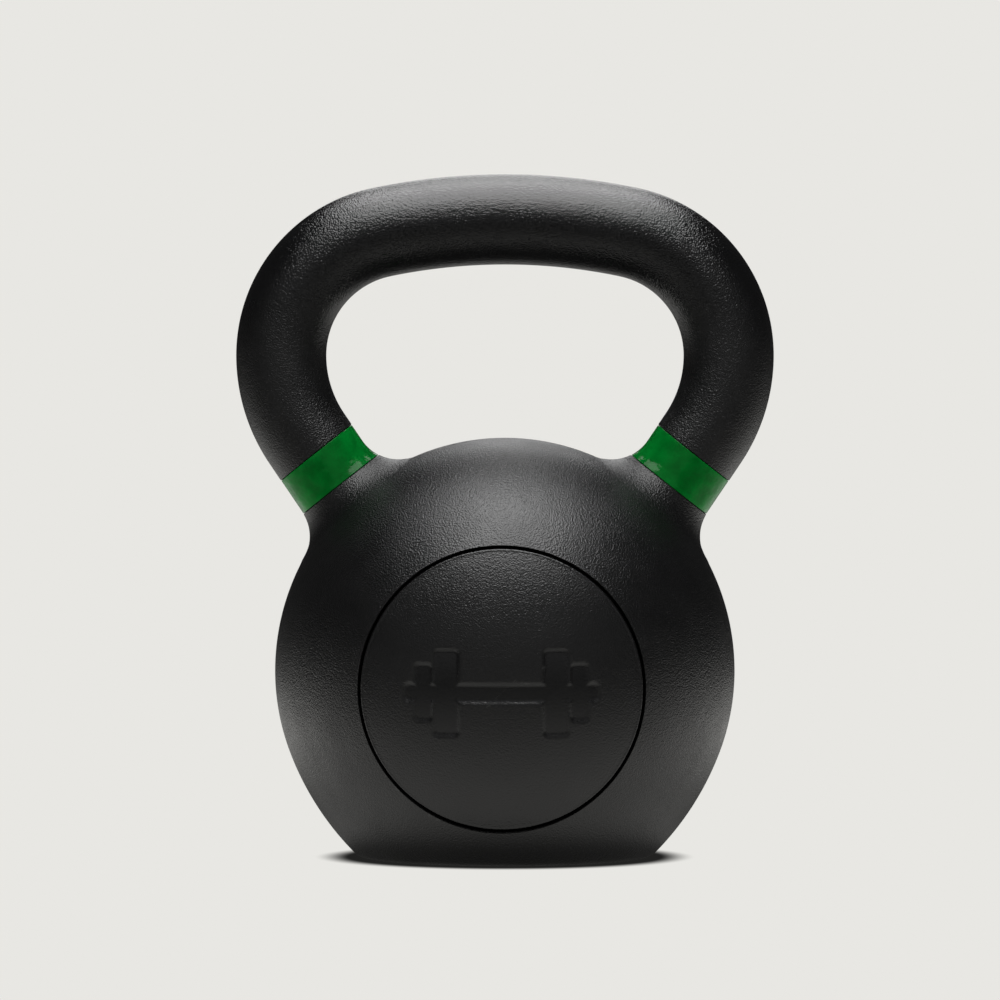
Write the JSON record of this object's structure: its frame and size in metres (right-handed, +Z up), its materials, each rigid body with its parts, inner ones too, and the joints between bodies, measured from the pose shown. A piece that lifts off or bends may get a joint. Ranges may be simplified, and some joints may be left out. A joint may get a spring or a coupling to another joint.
{
  "type": "kettlebell",
  "caption": "Cast kettlebell: a ball with a flat foot, two horns and a wide rounded grip, a coloured band round each horn and a domed disc let into each face of the ball",
  "frame": {"origin": "the middle of the flat foot, on the surface that the kettlebell stands on", "axes": "+Z up through the handle, X along the grip, -Y towards the front disc"},
  "size_m": [0.2106, 0.1742, 0.2671],
  "materials": {
    "coated_iron": "black powder coat with a fine orange-peel texture over cast iron",
    "coated_disc": "black powder coat, finer than on the casting",
    "green_band": "glossy green strip with slight unevenness",
    "adhesive": "grey cured adhesive"
  },
  "bodies": {
    "root": {"casting": "coated_iron", "left_colour_band": "green_band", "right_colour_band": "green_band", "front_disc": "coated_disc", "front_disc_adhesive": "adhesive", "rear_disc": "coated_disc", "rear_disc_adhesive": "adhesive"}
  },
  "joints": []
}
